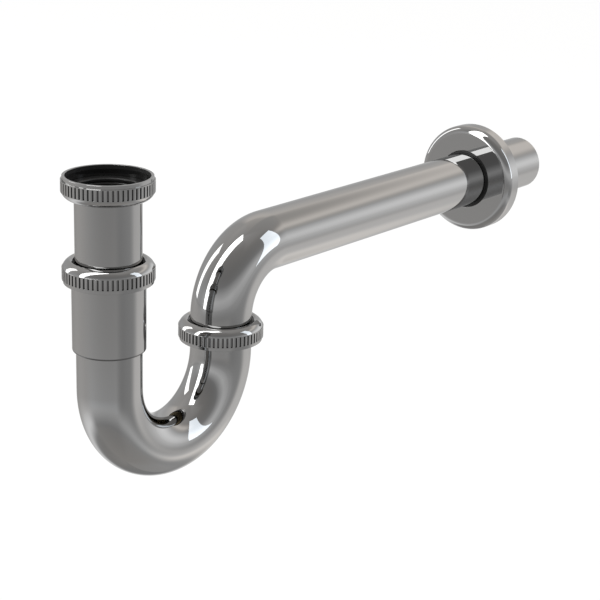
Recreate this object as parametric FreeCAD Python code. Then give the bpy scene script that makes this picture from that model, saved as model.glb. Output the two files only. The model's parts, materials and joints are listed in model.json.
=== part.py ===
"""Tubular U-bend trap for a washbasin, built as its separate pieces.

All sizes are in millimetres. Z is the axis of the inlet leg, up; X runs
along the outlet pipe towards the wall. The origin is the centre of the open
rim of the inlet nut, where the basin's waste screws in.
"""

import math
import os

import FreeCAD
import Part

# Tubes
TUBE_R = 16.0
TUBE_WALL = 1.0
TUBE_BORE_R = TUBE_R - TUBE_WALL
LEG_SPACING = 80.4
BEND_TOP = -106.3
ELBOW_R = 34.4
PIPE_END = 366.2
END_CHAMFER = 0.4

# Clearances
THREAD_CLEARANCE = 0.05
SLIDE_CLEARANCE = 0.05
SOCKET_CLEARANCE = 0.8
NUT_HOLE_CLEARANCE = 1.06
FLARE_CLEARANCE = 0.5
GASKET_CLEARANCE = 0.3
WASHER_CLEARANCE = 0.4

# Socket that the inlet tube slides into, and the threaded collar round it
SOCKET_BORE_R = TUBE_R + SOCKET_CLEARANCE
SOCKET_R = SOCKET_BORE_R + TUBE_WALL
SOCKET_END = -86.0
SOCKET_ROUND = 1.0
INLET_TUBE_END = -72.5
SEAL_LIP_LENGTH = 3.6
SEAL_LIP_TIP = 0.3
COLLAR_WALL = 2.25
COLLAR_R = SOCKET_R + COLLAR_WALL
COLLAR_LENGTH = 5.0
COLLAR_CHAMFER = 0.5

# What the nuts clamp
NUT_THREAD_R = COLLAR_R + THREAD_CLEARANCE
FLARE_R = NUT_THREAD_R - FLARE_CLEARANCE
FLARE_THICKNESS = 1.5
FLARE_ROUND = 0.8
GASKET_R = NUT_THREAD_R - GASKET_CLEARANCE
GASKET_THICKNESS = 2.1
GASKET_ROUND = 0.7
WASHER_R = NUT_THREAD_R - WASHER_CLEARANCE
WASHER_BORE_R = TUBE_R + WASHER_CLEARANCE
WASHER_THICKNESS = FLARE_THICKNESS

# Union nuts: three alike, measured from the open end towards the shoulder
NUT_THREAD_LENGTH = 5.3
NUT_THREAD_DEPTH = 0.4
NUT_WALL = 1.4
NUT_SHOULDER = 2.3
NUT_HEIGHT = NUT_THREAD_LENGTH + GASKET_THICKNESS + FLARE_THICKNESS + NUT_SHOULDER
NUT_RECESS_R = NUT_THREAD_R + NUT_THREAD_DEPTH
NUT_RIM_R = NUT_THREAD_R + NUT_WALL
NUT_BAND_START = 1.7
NUT_BAND_LENGTH = 6.3
NUT_BAND_END = NUT_BAND_START + NUT_BAND_LENGTH
NUT_BAND_RISE = 0.65
NUT_BAND_R = NUT_RIM_R + NUT_BAND_RISE
NUT_BAND_CHAMFER = 0.2
GROOVE_COUNT = 60
GROOVE_DEPTH = 0.6
GROOVE_WIDTH = 1.0
GROOVE_END_WALL = 0.35
GROOVE_TURN_DEG = 2.5
NUT_SHOULDER_ROUND = 5.15
NUT_SHOULDER_SET_IN = 0.05
NUT_SHOULDER_CENTRE_R = NUT_BAND_R - NUT_SHOULDER_SET_IN - NUT_SHOULDER_ROUND
NUT_HOLE_R = TUBE_R + NUT_HOLE_CLEARANCE
NUT_HOLE_ROUND = 0.8
INLET_NUT_RIM = 0.0
SOCKET_NUT_TOP = -40.5
OUTLET_NUT_TOP = -89.8

# Wall flange and the rubber ring that grips the pipe inside it
GRIP_WALL = 1.5
GRIP_LIP = 2.5
GRIP_SET_BACK = 0.7
GRIP_BODY_LENGTH = 5.0
FLANGE_FRONT = 303.4
FLANGE_DEPTH = 10.7
FLANGE_BACK = FLANGE_FRONT + FLANGE_DEPTH
FLANGE_HOLE_R = TUBE_R + GRIP_WALL
FLANGE_HOLE_ROUND = 0.3
FLANGE_WIDTH = 14.9
FLANGE_R = FLANGE_HOLE_R + FLANGE_WIDTH
FLANGE_ROUND = 4.3
FLANGE_SHEET = 1.2
GRIP_BODY_R = FLANGE_HOLE_R + GRIP_LIP

# Places that follow from the sizes above
NECK_RISE = 0.2
BEND_R = LEG_SPACING / 2
ELBOW_START = OUTLET_NUT_TOP + NECK_RISE
PIPE_AXIS = ELBOW_START + ELBOW_R
PIPE_START = LEG_SPACING + ELBOW_R
SOCKET_TOP = SOCKET_NUT_TOP - NUT_HEIGHT + NUT_THREAD_LENGTH
OUTLET_JOINT = OUTLET_NUT_TOP - NUT_HEIGHT + NUT_THREAD_LENGTH

ORIGIN = FreeCAD.Vector(0, 0, 0)
UP = FreeCAD.Vector(0, 0, 1)
SIDE = FreeCAD.Vector(0, 1, 0)
HALF = math.sqrt(0.5)


def outline(start, steps):
    """Closed outline of (radius, height) points about Z.

    A step is the next point, or a pair of points: one on an arc, and its end.
    """
    def at(point):
        return FreeCAD.Vector(point[0], 0, point[1])

    edges = []
    here = start
    for step in steps:
        if isinstance(step[0], tuple):
            through, end = step
            edges.append(Part.Arc(at(here), at(through), at(end)).toShape())
        else:
            end = step
            edges.append(Part.makeLine(at(here), at(end)))
        here = end
    if here != start:
        edges.append(Part.makeLine(at(here), at(start)))
    return Part.Face(Part.Wire(edges))


def turned(start, steps):
    """Solid of revolution about Z."""
    return outline(start, steps).revolve(ORIGIN, UP, 360)


def tube(outer_r, bore_r, low, high):
    """Plain tube about Z between two heights."""
    return turned((bore_r, low), [(outer_r, low), (outer_r, high), (bore_r, high)])


def curved_tube(path_r, degrees):
    """Tube bent round the Y axis: it starts at x = -path_r, heading up."""
    def disc(radius):
        circle = Part.makeCircle(radius, FreeCAD.Vector(-path_r, 0, 0), UP)
        return Part.Face(Part.Wire(circle))

    ring = disc(TUBE_R).cut(disc(TUBE_BORE_R))
    return ring.revolve(ORIGIN, SIDE, degrees)


def lay_along_x(shape, height):
    """Turn a shape made about Z so that its axis lies along X at a height."""
    shape.rotate(ORIGIN, SIDE, 90)
    shape.translate(FreeCAD.Vector(0, 0, height))
    return shape


# Union nut

def nut_body():
    """The turned nut, with its open end at height 0 and its shoulder on top."""
    centre_r = NUT_SHOULDER_CENTRE_R
    centre_h = NUT_HEIGHT - NUT_SHOULDER_ROUND
    rise = NUT_BAND_END - centre_h
    shoulder_start_r = centre_r + math.sqrt(NUT_SHOULDER_ROUND**2 - rise**2)
    hole_edge_r = NUT_HOLE_R + NUT_HOLE_ROUND
    drop = NUT_SHOULDER_ROUND - math.sqrt(NUT_SHOULDER_ROUND**2 - (hole_edge_r - centre_r)**2)
    hole_edge_h = NUT_HEIGHT - drop
    diagonal = NUT_SHOULDER_ROUND * HALF
    corner = NUT_HOLE_ROUND * (1 - HALF)
    recess_top = NUT_HEIGHT - NUT_SHOULDER
    return turned((NUT_THREAD_R, 0), [
        (NUT_RIM_R, 0),
        (NUT_RIM_R, NUT_BAND_START),
        (NUT_BAND_R - NUT_BAND_CHAMFER, NUT_BAND_START),
        (NUT_BAND_R, NUT_BAND_START + NUT_BAND_CHAMFER),
        (NUT_BAND_R, NUT_BAND_END - NUT_BAND_CHAMFER),
        (NUT_BAND_R - NUT_BAND_CHAMFER, NUT_BAND_END),
        (shoulder_start_r, NUT_BAND_END),
        ((centre_r + diagonal, centre_h + diagonal), (hole_edge_r, hole_edge_h)),
        ((NUT_HOLE_R + corner, hole_edge_h - corner), (NUT_HOLE_R, hole_edge_h - NUT_HOLE_ROUND)),
        (NUT_HOLE_R, recess_top),
        (NUT_RECESS_R, recess_top),
        (NUT_RECESS_R, NUT_THREAD_LENGTH),
        (NUT_THREAD_R, NUT_THREAD_LENGTH),
    ])


def grip_grooves():
    """V-shaped cutters round the band, one for each finger groove.

    A groove is open towards the rim and stops at a thin wall near the shoulder.
    """
    floor_r = NUT_BAND_R - GROOVE_DEPTH
    clear_r = NUT_BAND_R + GROOVE_DEPTH
    corners = [
        FreeCAD.Vector(floor_r, 0, NUT_BAND_START),
        FreeCAD.Vector(clear_r, -GROOVE_WIDTH, NUT_BAND_START),
        FreeCAD.Vector(clear_r, GROOVE_WIDTH, NUT_BAND_START),
    ]
    section = Part.Face(Part.makePolygon(corners + corners[:1]))
    cutter = section.extrude(UP * (NUT_BAND_LENGTH - GROOVE_END_WALL))
    cutters = []
    for index in range(GROOVE_COUNT):
        copy = cutter.copy()
        copy.rotate(ORIGIN, UP, GROOVE_TURN_DEG + index * 360 / GROOVE_COUNT)
        cutters.append(copy)
    return Part.makeCompound(cutters)


def union_nut():
    """A nut with its open end down at height 0."""
    return nut_body().cut(grip_grooves())


def inlet_nut():
    """The nut with its open end up, on the basin's waste."""
    nut = union_nut()
    nut.rotate(ORIGIN, FreeCAD.Vector(1, 0, 0), 180)
    nut.rotate(ORIGIN, UP, 2 * GROOVE_TURN_DEG)
    nut.translate(FreeCAD.Vector(0, 0, INLET_NUT_RIM))
    return nut


def socket_nut():
    nut = union_nut()
    nut.translate(FreeCAD.Vector(0, 0, SOCKET_NUT_TOP - NUT_HEIGHT))
    return nut


def outlet_nut():
    nut = union_nut()
    nut.translate(FreeCAD.Vector(LEG_SPACING, 0, OUTLET_NUT_TOP - NUT_HEIGHT))
    return nut


# Gaskets, washer and seal

def flat_gasket(top):
    """Flat rubber ring whose inner edges are rounded."""
    low = top - GASKET_THICKNESS
    lip_r = TUBE_BORE_R + GASKET_ROUND
    side = GASKET_ROUND * HALF
    return turned((lip_r, low), [
        (GASKET_R, low),
        (GASKET_R, top),
        (lip_r, top),
        ((lip_r - side, top - GASKET_ROUND + side), (TUBE_BORE_R, top - GASKET_ROUND)),
        (TUBE_BORE_R, low + GASKET_ROUND),
        ((lip_r - side, low + GASKET_ROUND - side), (lip_r, low)),
    ])


def inlet_gasket():
    return flat_gasket(INLET_NUT_RIM - NUT_THREAD_LENGTH)


def outlet_gasket():
    gasket = flat_gasket(OUTLET_JOINT + GASKET_THICKNESS)
    gasket.translate(FreeCAD.Vector(LEG_SPACING, 0, 0))
    return gasket


def socket_washer():
    """Slip ring that the socket nut turns on."""
    top = SOCKET_NUT_TOP - NUT_SHOULDER
    return tube(WASHER_R, WASHER_BORE_R, top - WASHER_THICKNESS, top)


def socket_seal():
    """Rubber ring whose tapered lip goes down between tube and socket."""
    bore_r = TUBE_R + SLIDE_CLEARANCE
    lip_top_r = SOCKET_BORE_R
    return turned((bore_r, SOCKET_TOP + GASKET_THICKNESS), [
        (bore_r, SOCKET_TOP - SEAL_LIP_LENGTH),
        (bore_r + SEAL_LIP_TIP, SOCKET_TOP - SEAL_LIP_LENGTH),
        (lip_top_r, SOCKET_TOP),
        (WASHER_R, SOCKET_TOP),
        (WASHER_R, SOCKET_TOP + GASKET_THICKNESS),
    ])


# Tubes and the threaded collars fixed on them

def inlet_tube():
    """Straight tube with a turned-out flare that hangs on the inlet nut."""
    top = INLET_NUT_RIM - NUT_THREAD_LENGTH - GASKET_THICKNESS
    under = top - FLARE_THICKNESS
    corner = FLARE_ROUND * (1 - HALF)
    mouth_r = TUBE_BORE_R + FLARE_ROUND
    return turned((mouth_r, top), [
        ((TUBE_BORE_R + corner, top - corner), (TUBE_BORE_R, top - FLARE_ROUND)),
        (TUBE_BORE_R, INLET_TUBE_END),
        (TUBE_R - END_CHAMFER, INLET_TUBE_END),
        (TUBE_R, INLET_TUBE_END + END_CHAMFER),
        (TUBE_R, under - FLARE_ROUND),
        ((TUBE_R + corner, under - corner), (TUBE_R + FLARE_ROUND, under)),
        (FLARE_R, under),
        (FLARE_R, top),
    ])


def threaded_collar(bore_r, top):
    """Ring fixed round the end of a tube; the nut screws onto it."""
    low = top - COLLAR_LENGTH
    return turned((bore_r, low), [
        (COLLAR_R - COLLAR_CHAMFER, low),
        (COLLAR_R, low + COLLAR_CHAMFER),
        (COLLAR_R, top - COLLAR_CHAMFER),
        (COLLAR_R - COLLAR_CHAMFER, top),
        (bore_r, top),
    ])


def socket_collar():
    return threaded_collar(SOCKET_R, SOCKET_TOP)


def outlet_collar():
    collar = threaded_collar(TUBE_R, OUTLET_JOINT)
    collar.translate(FreeCAD.Vector(LEG_SPACING, 0, 0))
    return collar


def socket_leg():
    """Inlet leg of the bend: the widened socket, its step and the tube below."""
    corner = SOCKET_ROUND * (1 - HALF)
    inner_step = SOCKET_END + TUBE_WALL
    return turned((SOCKET_BORE_R, SOCKET_TOP), [
        (SOCKET_R, SOCKET_TOP),
        (SOCKET_R, SOCKET_END + SOCKET_ROUND),
        ((SOCKET_R - corner, SOCKET_END + corner), (SOCKET_R - SOCKET_ROUND, SOCKET_END)),
        (TUBE_R, SOCKET_END),
        (TUBE_R, BEND_TOP),
        (TUBE_BORE_R, BEND_TOP),
        (TUBE_BORE_R, inner_step),
        (SOCKET_BORE_R, inner_step),
    ])


def u_bend():
    """One tube: socket leg, half-turn bend and short outlet leg."""
    bend = curved_tube(BEND_R, -180)
    bend.translate(FreeCAD.Vector(BEND_R, 0, BEND_TOP))
    outlet_leg = tube(TUBE_R, TUBE_BORE_R, BEND_TOP, OUTLET_JOINT)
    outlet_leg.translate(FreeCAD.Vector(LEG_SPACING, 0, 0))
    return socket_leg().fuse([bend, outlet_leg]).removeSplitter()


def outlet_pipe():
    """One tube: flare, short neck, quarter-turn elbow and the pipe to the wall."""
    joint = OUTLET_JOINT + GASKET_THICKNESS
    flare_top = joint + FLARE_THICKNESS
    corner = FLARE_ROUND * (1 - HALF)
    neck = turned((TUBE_BORE_R, ELBOW_START), [
        (TUBE_BORE_R, joint + FLARE_ROUND),
        ((TUBE_BORE_R + corner, joint + corner), (TUBE_BORE_R + FLARE_ROUND, joint)),
        (FLARE_R, joint),
        (FLARE_R, flare_top),
        (TUBE_R + FLARE_ROUND, flare_top),
        ((TUBE_R + corner, flare_top + corner), (TUBE_R, flare_top + FLARE_ROUND)),
        (TUBE_R, ELBOW_START),
    ])
    neck.translate(FreeCAD.Vector(LEG_SPACING, 0, 0))

    elbow = curved_tube(ELBOW_R, 90)
    elbow.translate(FreeCAD.Vector(PIPE_START, 0, ELBOW_START))

    run = lay_along_x(turned((TUBE_BORE_R, PIPE_START), [
        (TUBE_R, PIPE_START),
        (TUBE_R, PIPE_END - END_CHAMFER),
        (TUBE_R - END_CHAMFER, PIPE_END),
        (TUBE_BORE_R, PIPE_END),
    ]), PIPE_AXIS)
    return neck.fuse([elbow, run]).removeSplitter()


# Wall flange

def wall_flange():
    """Hollow cover: flat front, quarter-round edge, open back on the wall."""
    corner = FLANGE_ROUND * HALF
    round_r = FLANGE_R - FLANGE_ROUND
    round_x = FLANGE_FRONT + FLANGE_ROUND
    inner_corner = (FLANGE_ROUND - FLANGE_SHEET) * HALF
    lip = FLANGE_HOLE_ROUND * (1 - HALF)
    shell = turned((FLANGE_HOLE_R, FLANGE_FRONT + FLANGE_HOLE_ROUND), [
        ((FLANGE_HOLE_R + lip, FLANGE_FRONT + lip),
         (FLANGE_HOLE_R + FLANGE_HOLE_ROUND, FLANGE_FRONT)),
        (round_r, FLANGE_FRONT),
        ((round_r + corner, round_x - corner), (FLANGE_R, round_x)),
        (FLANGE_R, FLANGE_BACK),
        (FLANGE_R - FLANGE_SHEET, FLANGE_BACK),
        (FLANGE_R - FLANGE_SHEET, round_x),
        ((round_r + inner_corner, round_x - inner_corner), (round_r, FLANGE_FRONT + FLANGE_SHEET)),
        (FLANGE_HOLE_R, FLANGE_FRONT + FLANGE_SHEET),
    ])
    return lay_along_x(shell, PIPE_AXIS)


def flange_grip_ring():
    """Rubber ring: a collar through the flange's hole and a body behind it."""
    bore_r = TUBE_R + SLIDE_CLEARANCE
    front = FLANGE_FRONT + GRIP_SET_BACK
    behind = FLANGE_FRONT + FLANGE_SHEET
    ring = turned((bore_r, front), [
        (FLANGE_HOLE_R, front),
        (FLANGE_HOLE_R, behind),
        (GRIP_BODY_R, behind),
        (GRIP_BODY_R, behind + GRIP_BODY_LENGTH),
        (bore_r, behind + GRIP_BODY_LENGTH),
    ])
    return lay_along_x(ring, PIPE_AXIS)


PIECES = {
    "inlet_nut": inlet_nut,
    "inlet_gasket": inlet_gasket,
    "inlet_tube": inlet_tube,
    "socket_nut": socket_nut,
    "socket_washer": socket_washer,
    "socket_seal": socket_seal,
    "socket_collar": socket_collar,
    "u_bend": u_bend,
    "outlet_collar": outlet_collar,
    "outlet_gasket": outlet_gasket,
    "outlet_nut": outlet_nut,
    "outlet_pipe": outlet_pipe,
    "wall_flange": wall_flange,
    "flange_grip_ring": flange_grip_ring,
}


os.makedirs("parts", exist_ok=True)
for name, make in PIECES.items():
    shape = make()
    shape.exportStep(os.path.join("parts", name + ".step"))
    box = shape.BoundBox
    print(f"{name}: {shape.Volume:.1f} mm3, valid {shape.isValid()}, solids {len(shape.Solids)}, "
          f"x {box.XMin:.2f} to {box.XMax:.2f}, z {box.ZMin:.2f} to {box.ZMax:.2f}")
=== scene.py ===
import json
import math

import bpy
from mathutils import Matrix, Vector


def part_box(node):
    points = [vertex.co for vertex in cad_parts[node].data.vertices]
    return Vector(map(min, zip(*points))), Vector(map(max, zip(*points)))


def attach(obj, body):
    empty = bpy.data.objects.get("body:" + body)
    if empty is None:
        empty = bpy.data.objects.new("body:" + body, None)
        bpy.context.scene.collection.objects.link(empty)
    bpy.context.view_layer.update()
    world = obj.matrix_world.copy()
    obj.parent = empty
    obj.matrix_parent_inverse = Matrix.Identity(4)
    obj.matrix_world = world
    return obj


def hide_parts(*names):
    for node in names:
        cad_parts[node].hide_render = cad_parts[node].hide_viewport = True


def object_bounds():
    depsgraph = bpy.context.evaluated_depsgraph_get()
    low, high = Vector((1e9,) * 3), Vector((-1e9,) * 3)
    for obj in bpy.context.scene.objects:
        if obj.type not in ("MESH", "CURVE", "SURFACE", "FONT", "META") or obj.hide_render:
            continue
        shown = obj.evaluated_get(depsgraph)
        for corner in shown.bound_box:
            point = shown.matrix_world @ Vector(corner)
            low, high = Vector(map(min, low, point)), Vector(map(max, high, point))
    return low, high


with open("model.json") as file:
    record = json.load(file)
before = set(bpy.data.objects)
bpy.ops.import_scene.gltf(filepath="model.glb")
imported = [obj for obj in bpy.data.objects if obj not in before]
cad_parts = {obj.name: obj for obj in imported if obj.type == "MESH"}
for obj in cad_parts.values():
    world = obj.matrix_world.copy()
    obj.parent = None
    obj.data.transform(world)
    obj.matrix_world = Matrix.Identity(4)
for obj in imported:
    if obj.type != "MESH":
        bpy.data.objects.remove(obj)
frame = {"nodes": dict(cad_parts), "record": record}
start_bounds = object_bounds()

# Camera, solved from the photograph: metres and degrees in the part's frame
CAMERA_PLACE = (-0.5085, -0.5220, 0.1823)
CAMERA_YAW = 38.59
CAMERA_PITCH = -18.40
CAMERA_ROLL = 1.79
LENS = 96.19
SENSOR = 36.0

# Studio. Azimuths turn from +X, the wall, towards +Y; levels have 1 as white
FLOOR_DROP = 3.0
FLOOR_SIZE = 120.0
FLOOR_GREY = 0.12
FLOOR_LIT = 0.14
BACKGROUND = 1.03
ROOM_TOP = 1.5
SOFTBOX_DISTANCE = 30.0
# Softboxes as the chrome mirrors them: degrees, level and colour
SOFTBOXES = {
    "left_softbox": dict(azimuth=104.4, half_width=7.1, low=-3, high=43, tilt=22,
                         level=2.6, colour=(1.0, 1.0, 0.99)),
    "tall_softbox": dict(azimuth=155.3, half_width=9.0, low=-3, high=88, tilt=55,
                         level=5.2, colour=(1.0, 1.0, 0.99)),
    "right_softbox": dict(azimuth=-54.6, half_width=7.7, low=-1, high=49, tilt=24,
                          level=2.05, colour=(0.92, 1.0, 1.08)),
}

# Chrome: share of light sent back straight and along the surface, and its faint haze
CHROME_STRAIGHT = 0.25
CHROME_GRAZING = 0.60
CHROME_EDGE_TINT = (0.6, 0.6, 0.6, 1)
CHROME_HAZE_SCALE = 35.0
CHROME_ROUGHNESS = (0.01, 0.05)

# Rubber and plastic: grey level and middle roughness; and the grain that both share
RUBBER = (0.012, 0.35)
PLASTIC = (0.010, 0.5)
RUBBER_GLOSS = 0.35
RUBBER_GRAIN_SCALE = 900.0
RUBBER_ROUGHNESS_SWING = 0.08
RUBBER_BUMP = 0.1
RUBBER_BUMP_HEIGHT = 0.0001

# Brass
BRASS_COLOUR = (0.16, 0.13, 0.08, 1)
BRASS_GRAIN_SCALE = 300.0
BRASS_ROUGHNESS = (0.2, 0.4)

# Union nuts: radii, and depths from the open rim towards the shoulder
THREAD_R = 0.0201
RECESS_R = 0.0205
RIM_R = 0.0215
BAND_R = 0.02215
THREAD_DEPTH = 0.0053
RECESS_DEPTH = 0.0089
NUT_DEPTH = 0.0112
EDGE = 0.00005
BAND_START = 0.0017
BAND_END = 0.00745
SHOULDER_ROUND = 0.00515
SHOULDER_CENTRE_R = 0.01695
SHOULDER_STEPS = 14
HOLE_R = 0.01706
CREST_ANGLE = 74.5
CREST_ROUND = 0.00035
CREST_STEPS = 5
DIP_ANGLE = 30
GROOVE_COUNT = 60
GROOVE_TURN = 2.5
GROOVE_START = 0.00205
GROOVE_END = 0.0072
GROOVE_RUN_OUT = 0.0003
GROOVE_DEPTH = 0.00065
# Across one groove, from ridge to ridge: degrees from its middle and share of its depth
GROOVE_SIDE = [(1.35, 0.0), (1.15, 0.1), (0.9, 0.85), (0.6, 1.0)]

# Bent tubes: radii and places of their centre lines
TUBE_R = 0.016
TUBE_BORE_R = 0.015
LEG_SPACING = 0.0804
BEND_TOP = -0.1063
BEND_R = LEG_SPACING / 2
BEND_STEPS = 96
SOCKET_R = 0.0178
SOCKET_BORE_R = 0.0168
SOCKET_TOP = -0.0464
SOCKET_END = -0.0860
SOCKET_ROUND = 0.001
SOCKET_STEP = 0.001
OUTLET_JOINT = -0.0957
FLARE_BOTTOM = -0.0936
FLARE_TOP = -0.0921
FLARE_R = 0.0196
FLARE_ROUND = 0.0008
ELBOW_START = -0.0896
ELBOW_R = 0.0344
ELBOW_STEPS = 48
PIPE_START = LEG_SPACING + ELBOW_R
PIPE_AXIS = ELBOW_START + ELBOW_R
PIPE_END = 0.3662
PIPE_CHAMFER = 0.0004
ROUND_STEPS = 5
RING_POINTS = 128
# Height of the first ring above a rounded edge, in radii of the edge
ROUND_LEAD = 1.2
# Faces that meet at more than this many degrees keep a sharp edge between them
SHARP_ANGLE = 30

# Painted shade: share of light left inside the nuts and the inlet tube; under DULL_SHARE a surface is matt
INSIDE_SHADE_SHARE = 0.07
DULL_SHARE = 0.08
TUBE_INSIDE_R = 0.0158
# Painted shade: share of light on a line round the socket's lower lip, and the heights that it lies between
LIP_SHADE_SHARE = 0.4
LIP_LOW = SOCKET_END + 0.0001
LIP_HIGH = SOCKET_END + 0.0011
# Painted shade by depth in a groove, as shares of light: dark walls, and a floor that sees a little more
GROOVE_SHADE_SHARES = [(0.03, 1.0), (0.15, 0.15), (0.85, 0.15), (0.97, 0.45)]

# Levels of the room by elevation: (elevation, level, warmth)
FRONT = [(-90, 0.48, 0.04), (-52, 0.50, 0.02), (-45, 0.55, 0.0), (-34, 0.86, 0.0), (-27, 0.88, -0.01),
         (-20, 0.70, 0.01), (-9, 0.70, 0.0), (4, 1.20, 0.0), (10, 1.12, 0.0), (21, 0.63, 0.0),
         (28, 0.49, 0.01), (50, 0.49, 0.03), (68, 0.55, 0.03), (90, 0.75, 0.02)]
RIGHT = [(-90, 0.48, 0.04), (-52, 0.54, 0.02), (-45, 0.60, 0.0), (-38, 0.84, 0.0), (-33, 0.76, 0.0),
         (-27, 0.54, 0.0), (-15, 0.57, 0.0), (-9, 0.72, 0.0), (4, 1.08, 0.0), (10, 1.0, 0.0),
         (21, 0.60, 0.0), (28, 0.48, 0.01), (50, 0.49, 0.03), (60, 0.58, 0.03), (90, 0.70, 0.02)]
LEFT = [(-90, 0.48, 0.03), (-60, 0.42, 0.02), (-53, 0.60, 0.0), (-45, 1.22, 0.0), (-39, 1.22, 0.0),
        (-33, 0.95, 0.01), (-24, 0.69, 0.02), (-10, 0.65, 0.02), (3, 0.67, 0.0), (27, 0.62, 0.02),
        (50, 0.64, 0.03), (60, 0.69, 0.03), (90, 0.62, 0.02)]
WALL = [(-90, 0.50, 0.03), (-60, 0.57, 0.01), (-48, 0.65, 0.01), (-39, 1.26, 0.04), (-32, 1.03, 0.02),
        (-22, 0.97, 0.02), (-14, 0.86, 0.01), (1, 1.27, 0.0), (10, 1.30, 0.0), (20, 0.86, 0.0),
        (26, 0.78, 0.04), (33, 1.10, 0.06), (41, 0.66, 0.05), (50, 0.57, 0.03), (90, 0.60, 0.03)]
BACKDROP = [(-90, 0.44, 0.03), (-60, 0.42, 0.0), (-52, 0.52, 0.0), (-45, 0.98, 0.0), (-39, 1.24, 0.0),
            (-33, 1.10, 0.0), (-27, 0.90, 0.0), (-20, 0.95, 0.0), (-9, 0.75, 0.0), (3, 0.86, 0.0),
            (15, 0.78, 0.01), (27, 0.82, 0.03), (45, 0.90, 0.06), (52, 0.71, 0.05), (90, 0.62, 0.03)]
# Sectors laid over FRONT, each over the ones before it: levels, azimuth, half width and soft sides
SECTORS = [(LEFT, 85, 60, 20), (WALL, -18, 46, 14), (RIGHT, -75, 26, 14),
           (BACKDROP, CAMERA_YAW, 18, 6)]


# Shader helpers

def new_node(tree, kind, **values):
    """Add a node; a value is set on its input, and a socket is linked to it."""
    node = tree.nodes.new(kind)
    for name, value in values.items():
        socket = node.inputs[int(name[1:])] if name[1:].isdigit() else node.inputs[name.replace("_", " ")]
        if isinstance(value, bpy.types.NodeSocket):
            tree.links.new(value, socket)
        else:
            socket.default_value = value
    return node


def maths(tree, operation, first, second=0.0, third=0.0):
    """A Math node's result."""
    node = new_node(tree, "ShaderNodeMath", _0=first, _1=second, _2=third)
    node.operation = operation
    return node.outputs[0]


def new_material(name):
    """A material with its node tree and its shader."""
    material = bpy.data.materials.new(name)
    material.use_nodes = True
    tree = material.node_tree
    return material, tree, tree.nodes["Principled BSDF"]


# Surroundings: one function of direction, shared by the world and the floor

def direction(azimuth, elevation):
    """Unit vector for an azimuth and an elevation in degrees."""
    turn = math.radians(azimuth)
    rise = math.radians(elevation)
    return Vector((math.cos(turn) * math.cos(rise), math.sin(turn) * math.cos(rise), math.sin(rise)))


def level_ramp(tree, elevation, levels):
    """Colour by elevation in radians, as a share of ROOM_TOP: a ramp stops at 1."""
    place = maths(tree, "MULTIPLY_ADD", elevation, 1 / math.pi, 0.5)
    node = new_node(tree, "ShaderNodeValToRGB", Fac=place)
    node.color_ramp.interpolation = "CARDINAL"
    stops = node.color_ramp.elements
    for degrees, level, warmth in levels:
        if degrees == -90:
            stop = stops[0]
        elif degrees == 90:
            stop = stops[len(stops) - 1]
        else:
            stop = stops.new(degrees / 180 + 0.5)
        share = level / ROOM_TOP
        stop.color = (share * (1 + warmth), share, share * (1 - warmth), 1)
    return node.outputs["Color"]


def sector(tree, heading, azimuth, half_width, soft):
    """1 in a sector of azimuths and 0 outside it, with soft sides."""
    turn = new_node(tree, "ShaderNodeVectorMath", _0=heading, _1=direction(azimuth, 0))
    turn.operation = "DOT_PRODUCT"
    edge = new_node(tree, "ShaderNodeMapRange", Value=turn.outputs["Value"],
                    From_Min=math.cos(math.radians(half_width + soft)),
                    From_Max=math.cos(math.radians(half_width - soft)))
    edge.interpolation_type = "SMOOTHSTEP"
    return edge.outputs["Result"]


def blend(tree, factor, below, above):
    """Two colours mixed: below at a factor of 0 and above at 1."""
    node = new_node(tree, "ShaderNodeMix")
    node.data_type = "RGBA"
    tree.links.new(factor, node.inputs["Factor"])
    tree.links.new(below, node.inputs[6])
    tree.links.new(above, node.inputs[7])
    return node.outputs[2]


def surroundings(tree, towards):
    """Colour of the room in a direction."""
    axes = new_node(tree, "ShaderNodeSeparateXYZ", Vector=towards)
    elevation = maths(tree, "ARCSINE", axes.outputs["Z"])
    flat = new_node(tree, "ShaderNodeCombineXYZ", X=axes.outputs["X"], Y=axes.outputs["Y"])
    heading = new_node(tree, "ShaderNodeVectorMath", _0=flat.outputs[0])
    heading.operation = "NORMALIZE"
    heading = heading.outputs[0]
    room = level_ramp(tree, elevation, FRONT)
    for levels, azimuth, half_width, soft in SECTORS:
        inside = sector(tree, heading, azimuth, half_width, soft)
        room = blend(tree, inside, room, level_ramp(tree, elevation, levels))
    room = new_node(tree, "ShaderNodeVectorMath", _0=room, _1=(ROOM_TOP, ROOM_TOP, ROOM_TOP))
    room.operation = "MULTIPLY"
    return room.outputs[0]


# Materials

def between(tree, value, low, high):
    """1 where a value lies between two others."""
    above = maths(tree, "GREATER_THAN", value, low)
    return maths(tree, "MULTIPLY", above, maths(tree, "LESS_THAN", value, high))


def distance_from_axis(tree, place, centre_x):
    """Distance from an upright axis through (centre_x, 0)."""
    axes = new_node(tree, "ShaderNodeSeparateXYZ", Vector=place)
    across = maths(tree, "SUBTRACT", axes.outputs["X"], centre_x)
    flat = new_node(tree, "ShaderNodeCombineXYZ", X=across, Y=axes.outputs["Y"])
    length = new_node(tree, "ShaderNodeVectorMath", _0=flat.outputs[0])
    length.operation = "LENGTH"
    return length.outputs["Value"]


def ramp(tree, value, shares):
    """A smooth curve through (value, share) pairs."""
    node = new_node(tree, "ShaderNodeValToRGB", Fac=value)
    stops = node.color_ramp.elements
    stops.remove(stops[1])
    stops[0].position = shares[0][0]
    for place, share in shares[1:]:
        stops.new(place)
    for stop, (place, share) in zip(stops, shares):
        stop.color = (share, share, share, 1)
    return node.outputs["Color"]


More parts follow.
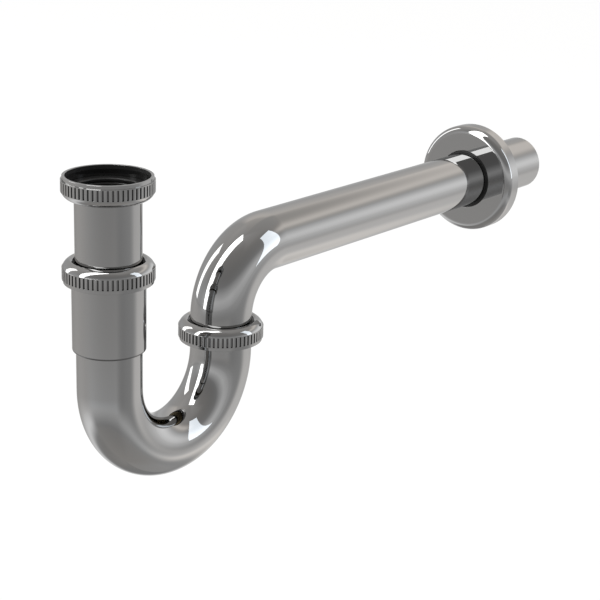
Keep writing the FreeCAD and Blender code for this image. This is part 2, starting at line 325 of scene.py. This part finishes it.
def nut_painted_shade(centre_x, rim, way):
    """Painted shade by place on a nut, as a share of light; way is 1 where its shoulder is above its open
    rim, or else -1.
    """
    def shade(tree, place):
        radius = distance_from_axis(tree, place, centre_x)
        height = new_node(tree, "ShaderNodeSeparateXYZ", Vector=place).outputs["Z"]
        depth = maths(tree, "MULTIPLY_ADD", height, way, -rim * way)
        # Painted shade inside the thread and recess, and under a lower nut's open rim
        inside = maths(tree, "MULTIPLY", between(tree, depth, EDGE / 2, RECESS_DEPTH),
                       maths(tree, "LESS_THAN", radius, RECESS_R + EDGE))
        if way > 0:
            inside = maths(tree, "MAXIMUM", inside, maths(tree, "LESS_THAN", depth, EDGE))
        # Painted shade down in the grooves, by depth
        deep = new_node(tree, "ShaderNodeMapRange", Value=radius,
                        From_Min=BAND_R, From_Max=BAND_R - GROOVE_DEPTH)
        groove = ramp(tree, deep.outputs["Result"], GROOVE_SHADE_SHARES)
        band = between(tree, depth, GROOVE_START, GROOVE_END)
        grooves = new_node(tree, "ShaderNodeMapRange", Value=band, To_Min=1.0, To_Max=groove)
        outside = maths(tree, "MULTIPLY_ADD", inside, INSIDE_SHADE_SHARE - 1, 1.0)
        return maths(tree, "MULTIPLY", grooves.outputs["Result"], outside)
    return shade


def tube_painted_shade(tree, place):
    """Painted shade by place on the inlet tube, as a share of light: dark inside."""
    radius = distance_from_axis(tree, place, 0.0)
    inside = maths(tree, "LESS_THAN", radius, TUBE_INSIDE_R)
    return maths(tree, "MULTIPLY_ADD", inside, INSIDE_SHADE_SHARE - 1, 1.0)


def bend_painted_shade(tree, place):
    """Painted shade by place on the bend, as a share of light: a dark line round the socket's lower lip."""
    radius = distance_from_axis(tree, place, 0.0)
    height = new_node(tree, "ShaderNodeSeparateXYZ", Vector=place).outputs["Z"]
    lip = maths(tree, "MULTIPLY", between(tree, height, LIP_LOW, LIP_HIGH),
                between(tree, radius, TUBE_R + EDGE, SOCKET_R + EDGE))
    return maths(tree, "MULTIPLY_ADD", lip, LIP_SHADE_SHARE - 1, 1.0)


def chrome_material(name="chrome", shade=None):
    """Polished chrome plate: a mirror with a faint haze, darkened by painted shade where a shade is given.
    """
    material, tree, shader = new_material(name)
    place = new_node(tree, "ShaderNodeTexCoord").outputs["Object"]
    facing = new_node(tree, "ShaderNodeLayerWeight", Blend=0.5).outputs["Facing"]
    level = maths(tree, "MULTIPLY_ADD", facing, CHROME_GRAZING - CHROME_STRAIGHT, CHROME_STRAIGHT)
    shader.inputs["Metallic"].default_value = 1.0
    if shade:
        # Painted shade darkens the colour, and where it is deep the metal turns matt
        share = shade(tree, place)
        level = maths(tree, "MULTIPLY", level, share)
        tree.links.new(maths(tree, "GREATER_THAN", share, DULL_SHARE), shader.inputs["Metallic"])
    tree.links.new(level, shader.inputs["Base Color"])
    shader.inputs["Specular Tint"].default_value = CHROME_EDGE_TINT
    haze = new_node(tree, "ShaderNodeTexNoise", Vector=place, Scale=CHROME_HAZE_SCALE, Detail=4.0)
    rough = new_node(tree, "ShaderNodeMapRange", Value=haze.outputs["Fac"],
                     To_Min=CHROME_ROUGHNESS[0], To_Max=CHROME_ROUGHNESS[1])
    tree.links.new(rough.outputs["Result"], shader.inputs["Roughness"])
    return material


def rubber_material(name, level, roughness):
    """Dark rubber or matt plastic with a fine grain."""
    material, tree, shader = new_material(name)
    place = new_node(tree, "ShaderNodeTexCoord").outputs["Object"]
    shader.inputs["Base Color"].default_value = (level, level, level, 1)
    shader.inputs["Specular IOR Level"].default_value = RUBBER_GLOSS
    grain = new_node(tree, "ShaderNodeTexNoise", Vector=place, Scale=RUBBER_GRAIN_SCALE, Detail=3.0)
    rough = new_node(tree, "ShaderNodeMapRange", Value=grain.outputs["Fac"],
                     To_Min=roughness - RUBBER_ROUGHNESS_SWING,
                     To_Max=roughness + RUBBER_ROUGHNESS_SWING)
    bump = new_node(tree, "ShaderNodeBump", Height=grain.outputs["Fac"],
                    Strength=RUBBER_BUMP, Distance=RUBBER_BUMP_HEIGHT)
    tree.links.new(rough.outputs["Result"], shader.inputs["Roughness"])
    tree.links.new(bump.outputs["Normal"], shader.inputs["Normal"])
    return material


def brass_material():
    """Machined brass."""
    material, tree, shader = new_material("brass")
    place = new_node(tree, "ShaderNodeTexCoord").outputs["Object"]
    shader.inputs["Base Color"].default_value = BRASS_COLOUR
    shader.inputs["Metallic"].default_value = 1.0
    grain = new_node(tree, "ShaderNodeTexNoise", Vector=place, Scale=BRASS_GRAIN_SCALE)
    rough = new_node(tree, "ShaderNodeMapRange", Value=grain.outputs["Fac"],
                     To_Min=BRASS_ROUGHNESS[0], To_Max=BRASS_ROUGHNESS[1])
    tree.links.new(rough.outputs["Result"], shader.inputs["Roughness"])
    return material


# Studio

def softbox(name, azimuth, half_width, low, high, tilt, level, colour):
    """Rectangular lamp seen from low to high; its face looks down at the angle of its tilt."""
    top = math.tan(math.radians(high - tilt))
    bottom = math.tan(math.radians(low - tilt))
    lamp = bpy.data.lights.new(name, "AREA")
    lamp.shape = "RECTANGLE"
    lamp.size = 2 * SOFTBOX_DISTANCE * math.tan(math.radians(half_width))
    lamp.size_y = SOFTBOX_DISTANCE * (top - bottom)
    lamp.energy = level * math.pi * lamp.size * lamp.size_y
    lamp.color = colour
    holder = bpy.data.objects.new(name, lamp)
    towards = direction(azimuth, tilt)
    upwards = direction(azimuth, tilt + 90)
    holder.location = SOFTBOX_DISTANCE * (towards + upwards * (top + bottom) / 2)
    holder.rotation_euler = towards.to_track_quat("Z", "Y").to_euler()
    holder.visible_camera = False
    bpy.context.scene.collection.objects.link(holder)


def white_to_camera(tree, rays, room):
    """The room as the chrome mirrors it, and a plain white backdrop straight to the camera."""
    white = new_node(tree, "ShaderNodeRGB").outputs[0]
    white.default_value = (BACKGROUND, BACKGROUND, BACKGROUND, 1)
    return blend(tree, rays.outputs["Is Camera Ray"], room, white)


def studio_world():
    """The room all round, for reflections and light."""
    world = bpy.data.worlds.new("studio")
    bpy.context.scene.world = world
    world.use_nodes = True
    tree = world.node_tree
    towards = new_node(tree, "ShaderNodeTexCoord").outputs["Generated"]
    rays = new_node(tree, "ShaderNodeLightPath")
    room = white_to_camera(tree, rays, surroundings(tree, towards))
    tree.links.new(room, tree.nodes["Background"].inputs["Color"])


def floor():
    """A floor far below: it shows the room to mirrored rays, and plain white to the camera."""
    low = start_bounds[0][2] - FLOOR_DROP
    bpy.ops.mesh.primitive_plane_add(size=FLOOR_SIZE, location=(0, 0, low))
    plane = bpy.context.object
    plane.name = "floor"
    material, tree, shader = new_material("floor")
    plane.data.materials.append(material)
    shader.inputs["Base Color"].default_value = (FLOOR_GREY, FLOOR_GREY, FLOOR_GREY, 1)
    shader.inputs["Roughness"].default_value = 1.0
    shader.inputs["Specular IOR Level"].default_value = 0.0
    position = new_node(tree, "ShaderNodeNewGeometry").outputs["Position"]
    towards = new_node(tree, "ShaderNodeVectorMath", _0=position)
    towards.operation = "NORMALIZE"
    rays = new_node(tree, "ShaderNodeLightPath")
    room = white_to_camera(tree, rays, surroundings(tree, towards.outputs[0]))
    glow = new_node(tree, "ShaderNodeVectorMath", _0=room, _1=(FLOOR_LIT, FLOOR_LIT, FLOOR_LIT))
    glow.operation = "SUBTRACT"
    seen = maths(tree, "MAXIMUM", rays.outputs["Is Camera Ray"], rays.outputs["Is Glossy Ray"])
    seen = maths(tree, "MAXIMUM", seen, rays.outputs["Is Transmission Ray"])
    tree.links.new(glow.outputs[0], shader.inputs["Emission Color"])
    tree.links.new(seen, shader.inputs["Emission Strength"])


def camera():
    """The photograph's camera."""
    data = bpy.data.cameras.new("camera")
    data.sensor_width = SENSOR
    data.lens = LENS
    eye = bpy.data.objects.new("camera", data)
    turn = (Matrix.Rotation(math.radians(CAMERA_YAW - 90), 4, "Z")
            @ Matrix.Rotation(math.radians(90 + CAMERA_PITCH), 4, "X")
            @ Matrix.Rotation(math.radians(CAMERA_ROLL), 4, "Z"))
    eye.matrix_world = Matrix.Translation(CAMERA_PLACE) @ turn
    bpy.context.scene.collection.objects.link(eye)
    bpy.context.scene.camera = eye


# Materials on the solids

MATERIALS = {
    "chrome": chrome_material(),
    "black_rubber": rubber_material("black_rubber", *RUBBER),
    "black_plastic": rubber_material("black_plastic", *PLASTIC),
    "brass": brass_material(),
}

for part in frame["record"]["subparts"]:
    mesh = frame["nodes"][part["node"]].data
    mesh.materials.clear()
    mesh.materials.append(MATERIALS[part["material_slot"]])
# The inlet tube's chrome carries painted shade inside it
frame["nodes"]["inlet_tube"].data.materials[0] = chrome_material("chrome_inlet_tube", tube_painted_shade)


# Detailed pieces, each in place of one solid

def detail_piece(node, body, rows, material):
    """A closed skin over rows of points, which stands for one solid and rides on its body."""
    columns = len(rows[0])
    faces = []
    for row in range(len(rows)):
        next_row = (row + 1) % len(rows)
        for column in range(columns):
            next_column = (column + 1) % columns
            faces.append((row * columns + column, row * columns + next_column,
                          next_row * columns + next_column, next_row * columns + column))
    mesh = bpy.data.meshes.new(node + "_detail")
    mesh.from_pydata([point for row in rows for point in row], [], faces)
    mesh.polygons.foreach_set("use_smooth", [True] * len(mesh.polygons))
    mesh.set_sharp_from_angle(angle=math.radians(SHARP_ANGLE))
    mesh.materials.append(material)
    piece = bpy.data.objects.new(node + "_detail", mesh)
    bpy.context.scene.collection.objects.link(piece)
    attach(piece, body)
    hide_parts(node)


# Bent tubes: the solids' form with even rings, so that reflections run smoothly round the bends

def ring(x, z, heading, radius):
    """Points round a centre line in the XZ plane; the heading is 0 along +X and 90 degrees up."""
    turn = math.radians(heading)
    points = []
    for index in range(RING_POINTS):
        angle = 2 * math.pi * index / RING_POINTS
        across = radius * math.cos(angle)
        points.append((x - across * math.sin(turn), radius * math.sin(angle), z + across * math.cos(turn)))
    return points


def arc_rings(centre_x, centre_z, path_r, start, end, steps, radius):
    """Rings round a bend, from one angle about its centre to another."""
    rings = []
    way = 90 if end > start else -90
    for step in range(steps + 1):
        angle = start + (end - start) * step / steps
        turn = math.radians(angle)
        x = centre_x + path_r * math.cos(turn)
        z = centre_z + path_r * math.sin(turn)
        rings.append(ring(x, z, angle + way, radius))
    return rings


def u_bend_piece():
    """Socket, half turn and outlet leg, outside first and then back through the bore."""
    rows = [ring(0, SOCKET_TOP, -90, SOCKET_R),
            ring(0, SOCKET_END + SOCKET_ROUND * ROUND_LEAD, -90, SOCKET_R)]
    for step in range(ROUND_STEPS + 1):
        angle = math.pi / 2 * step / ROUND_STEPS
        rows.append(ring(0, SOCKET_END + SOCKET_ROUND * (1 - math.sin(angle)), -90,
                         SOCKET_R - SOCKET_ROUND * (1 - math.cos(angle))))
    rows.append(ring(0, SOCKET_END, -90, TUBE_R))
    rows += arc_rings(BEND_R, BEND_TOP, BEND_R, -180, 0, BEND_STEPS, TUBE_R)
    rows.append(ring(LEG_SPACING, OUTLET_JOINT, 90, TUBE_R))
    rows.append(ring(LEG_SPACING, OUTLET_JOINT, 90, TUBE_BORE_R))
    rows += arc_rings(BEND_R, BEND_TOP, BEND_R, -180, 0, BEND_STEPS, TUBE_BORE_R)[::-1]
    rows.append(ring(0, SOCKET_END + SOCKET_STEP, -90, TUBE_BORE_R))
    rows.append(ring(0, SOCKET_END + SOCKET_STEP, -90, SOCKET_BORE_R))
    rows.append(ring(0, SOCKET_TOP, -90, SOCKET_BORE_R))
    # The bend's chrome carries a painted shade line round the socket's lower lip
    detail_piece("u_bend", "trap_bend", rows, chrome_material("chrome_u_bend", bend_painted_shade))


def outlet_pipe_piece():
    """Flare, elbow and long pipe, outside first and then back through the bore."""
    rows = [ring(LEG_SPACING, FLARE_BOTTOM, 90, FLARE_R),
            ring(LEG_SPACING, FLARE_TOP, 90, FLARE_R)]
    for step in range(ROUND_STEPS + 1):
        angle = math.pi / 2 * step / ROUND_STEPS
        rows.append(ring(LEG_SPACING, FLARE_TOP + FLARE_ROUND * (1 - math.cos(angle)), 90,
                         TUBE_R + FLARE_ROUND * (1 - math.sin(angle))))
    rows += arc_rings(PIPE_START, ELBOW_START, ELBOW_R, 180, 90, ELBOW_STEPS, TUBE_R)
    rows.append(ring(PIPE_END - PIPE_CHAMFER, PIPE_AXIS, 0, TUBE_R))
    rows.append(ring(PIPE_END, PIPE_AXIS, 0, TUBE_R - PIPE_CHAMFER))
    rows.append(ring(PIPE_END, PIPE_AXIS, 0, TUBE_BORE_R))
    rows += arc_rings(PIPE_START, ELBOW_START, ELBOW_R, 180, 90, ELBOW_STEPS, TUBE_BORE_R)[::-1]
    rows.append(ring(LEG_SPACING, FLARE_BOTTOM, 90, TUBE_BORE_R))
    detail_piece("outlet_pipe", "outlet_pipe", rows, MATERIALS["chrome"])


# Union nuts: the solids' form with narrow closed grooves, rounded edges and a fine lip

def nut_outline():
    """The nut's closed outline: radius, depth from the open rim, and share of the grooves' depth."""
    centre_depth = NUT_DEPTH - SHOULDER_ROUND
    low = math.asin((BAND_END - centre_depth) / SHOULDER_ROUND)
    high = math.radians(CREST_ANGLE)
    dip = math.radians(DIP_ANGLE)
    crest_r = SHOULDER_CENTRE_R + (SHOULDER_ROUND - CREST_ROUND) * math.cos(high)
    crest_depth = centre_depth + (SHOULDER_ROUND - CREST_ROUND) * math.sin(high)
    rim = [(THREAD_R, EDGE, 0), (THREAD_R + EDGE, 0, 0), (RIM_R - EDGE, 0, 0), (RIM_R, EDGE, 0)]
    band = [(RIM_R, BAND_START - EDGE, 0), (RIM_R + EDGE, BAND_START, 0),
            (BAND_R - EDGE, BAND_START, 0), (BAND_R, BAND_START + EDGE, 0),
            (BAND_R, GROOVE_START, 0), (BAND_R, GROOVE_START + GROOVE_RUN_OUT, 1),
            (BAND_R, GROOVE_END - GROOVE_RUN_OUT, 1), (BAND_R, GROOVE_END, 0),
            (BAND_R, BAND_END - EDGE / 2, 0), (BAND_R - EDGE / 2, BAND_END, 0)]
    shoulder = []
    for step in range(SHOULDER_STEPS + 1):
        angle = low + (high - low) * step / SHOULDER_STEPS
        shoulder.append((SHOULDER_CENTRE_R + SHOULDER_ROUND * math.cos(angle),
                         centre_depth + SHOULDER_ROUND * math.sin(angle), 0))
    lip = []
    for step in range(1, CREST_STEPS + 1):
        angle = high + (math.pi / 2 + dip - high) * step / CREST_STEPS
        lip.append((crest_r + CREST_ROUND * math.cos(angle), crest_depth + CREST_ROUND * math.sin(angle), 0))
    fall = (lip[-1][0] - HOLE_R - EDGE) * math.tan(dip)
    lip.append((HOLE_R + EDGE, lip[-1][1] - fall, 0))
    lip.append((HOLE_R, lip[-1][1] - EDGE, 0))
    inside = [(HOLE_R, RECESS_DEPTH, 0), (RECESS_R, RECESS_DEPTH, 0),
              (RECESS_R, THREAD_DEPTH, 0), (THREAD_R, THREAD_DEPTH, 0)]
    return rim + band + shoulder + lip + inside


def groove_turns():
    """Angles round the nut, with the share of the grooves' depth at each."""
    across = [(-turn, share) for turn, share in GROOVE_SIDE]
    across += [(0.0, 1.0)]
    across += [(turn, share) for turn, share in reversed(GROOVE_SIDE)]
    turns = []
    for index in range(GROOVE_COUNT):
        middle = GROOVE_TURN + index * 360 / GROOVE_COUNT
        turns += [(math.radians(middle + turn), share) for turn, share in across]
    return turns


def nut_piece(node, rim_on_top):
    """A detailed nut in place of one of the three solids."""
    low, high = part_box(node)
    centre_x = (low[0] + high[0]) / 2
    rim = high[2] if rim_on_top else low[2]
    way = -1 if rim_on_top else 1
    rows = []
    for radius, depth, groove in nut_outline():
        row = []
        for angle, share in groove_turns():
            r = radius - GROOVE_DEPTH * groove * share
            row.append((centre_x + r * math.cos(angle), way * r * math.sin(angle), rim + way * depth))
        rows.append(row)
    # Each nut's chrome carries painted shade inside, under a lower nut's rim and down in the grooves
    detail_piece(node, node, rows, chrome_material("chrome_" + node, nut_painted_shade(centre_x, rim, way)))


# The scene

u_bend_piece()
outlet_pipe_piece()
nut_piece("inlet_nut", True)
nut_piece("socket_nut", False)
nut_piece("outlet_nut", False)

studio_world()
floor()
for name, values in SOFTBOXES.items():
    softbox(name, **values)
camera()
bpy.context.scene.view_settings.view_transform = "Standard"
